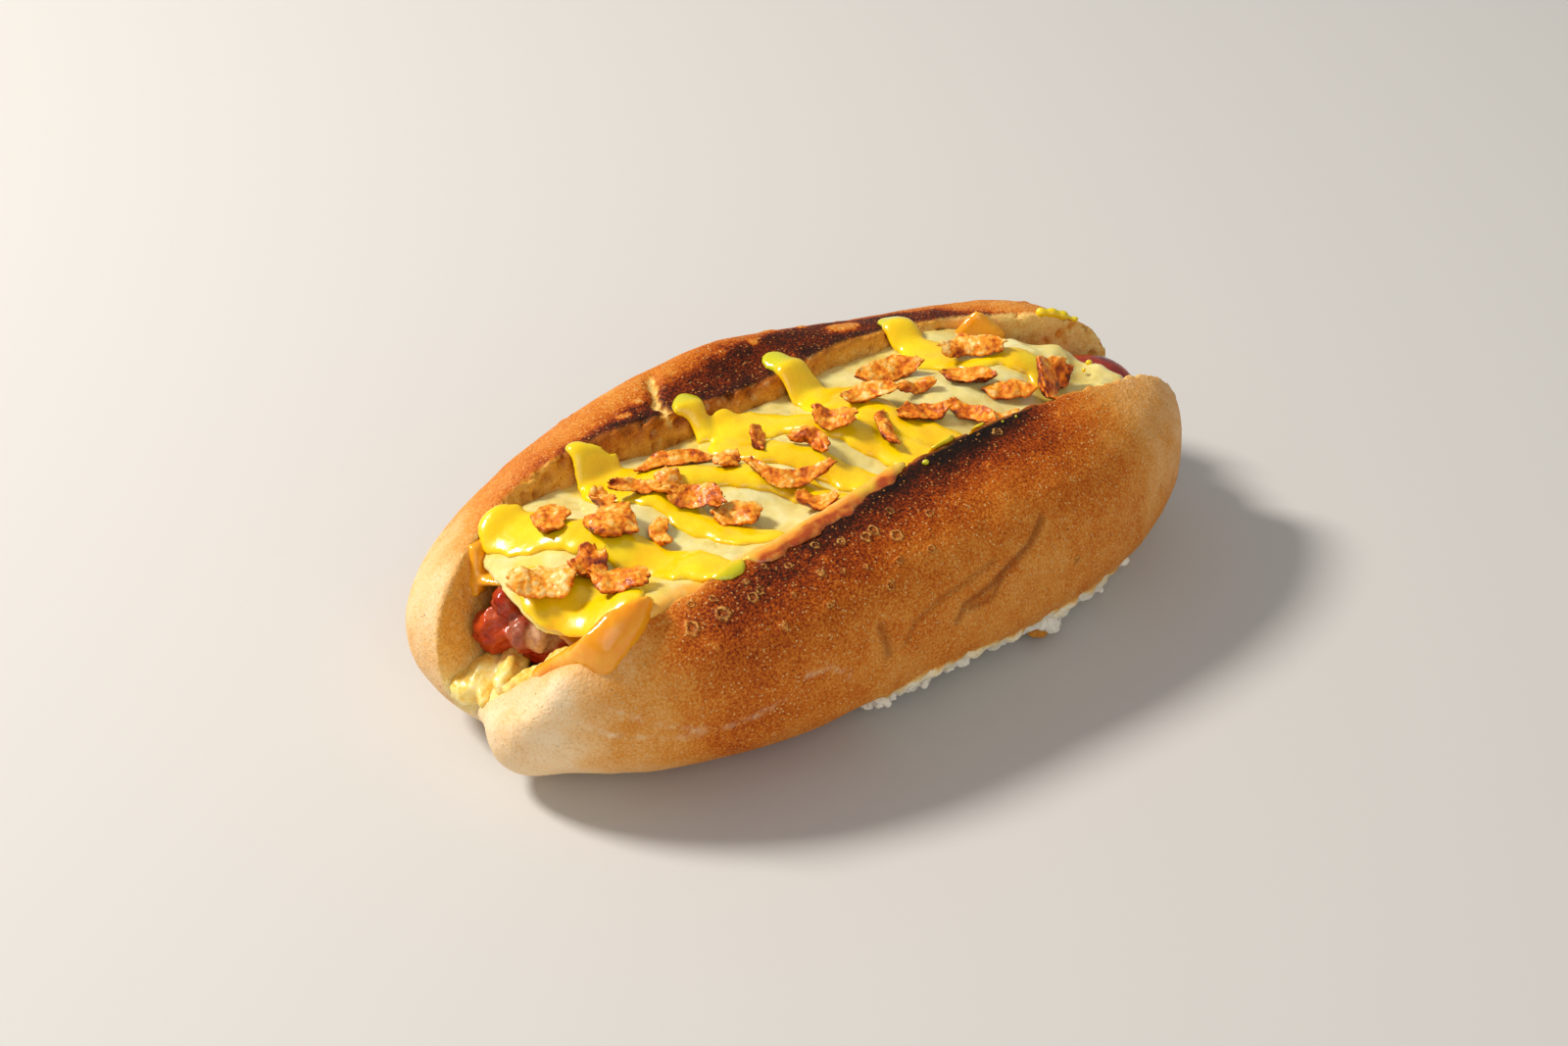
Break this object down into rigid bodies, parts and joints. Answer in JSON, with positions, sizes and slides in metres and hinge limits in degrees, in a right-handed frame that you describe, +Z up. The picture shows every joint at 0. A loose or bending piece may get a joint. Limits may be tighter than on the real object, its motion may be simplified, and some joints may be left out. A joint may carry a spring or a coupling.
{
  "type": "hot dog",
  "caption": "Hot dog in a toasted oval roll slit lengthways, with sausage, melted cheese, mustard in a zigzag and crispy fried onions.",
  "frame": {"origin": "middle of the roll's underside, on the surface it rests on", "axes": "+X along the roll towards the end where the sausage's smooth tip shows, +Y towards the higher back half, +Z up"},
  "size_m": [0.1899, 0.105, 0.0517],
  "materials": {
    "bread": "matte, toasted",
    "sausage": "glossy, moist",
    "orange_cheese": "glossy, soft",
    "pale_cheese": "glossy, soft",
    "fried_onion": "crisp, a little oily"
  },
  "bodies": {
    "root": {"bun": "bread", "sausage": "sausage", "orange_cheese": "orange_cheese", "pale_cheese": "pale_cheese", "crispy_onion_01": "fried_onion", "crispy_onion_02": "fried_onion", "crispy_onion_03": "fried_onion", "crispy_onion_04": "fried_onion", "crispy_onion_05": "fried_onion", "crispy_onion_06": "fried_onion", "crispy_onion_07": "fried_onion", "crispy_onion_08": "fried_onion", "crispy_onion_09": "fried_onion", "crispy_onion_10": "fried_onion", "crispy_onion_11": "fried_onion", "crispy_onion_12": "fried_onion", "crispy_onion_13": "fried_onion", "crispy_onion_14": "fried_onion", "crispy_onion_15": "fried_onion", "crispy_onion_16": "fried_onion", "crispy_onion_17": "fried_onion", "crispy_onion_18": "fried_onion", "crispy_onion_19": "fried_onion", "crispy_onion_20": "fried_onion", "crispy_onion_21": "fried_onion", "crispy_onion_22": "fried_onion", "crispy_onion_23": "fried_onion", "crispy_onion_24": "fried_onion", "crispy_onion_25": "fried_onion", "crispy_onion_26": "fried_onion", "crispy_onion_27": "fried_onion", "crispy_onion_28": "fried_onion", "crispy_onion_29": "fried_onion"}
  },
  "joints": []
}
